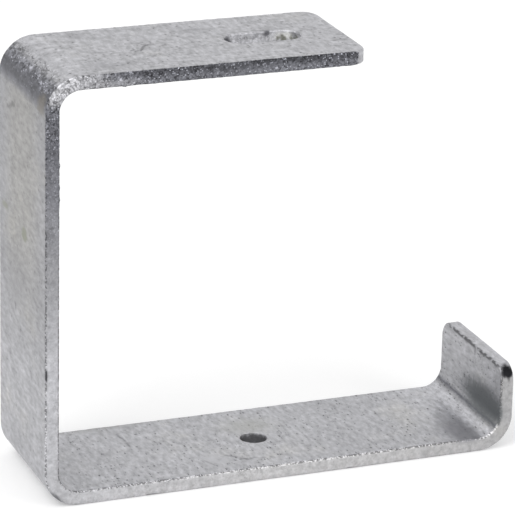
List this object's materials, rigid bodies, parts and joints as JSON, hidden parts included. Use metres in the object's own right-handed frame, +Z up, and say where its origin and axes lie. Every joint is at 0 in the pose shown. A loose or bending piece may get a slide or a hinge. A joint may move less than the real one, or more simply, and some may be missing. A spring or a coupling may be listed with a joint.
{
  "type": "cable tray bracket",
  "caption": "C-shaped bracket folded from flat bar, with a hanging slot in its upper flange, and a bolt hole and an upturned lip on the lower flange that carries the tray.",
  "frame": {"origin": "centre of the hanging slot, on the top face of the upper flange", "axes": "+Z up, out of the upper flange's top face; +Y along both flanges, from the web to the free ends; X across the bar's width"},
  "size_m": [0.05, 0.168, 0.147],
  "materials": {
    "galvanised_steel": "hot-dip galvanised, dull grey and mottled"
  },
  "bodies": {
    "root": {"c_bracket": "galvanised_steel"}
  },
  "joints": []
}
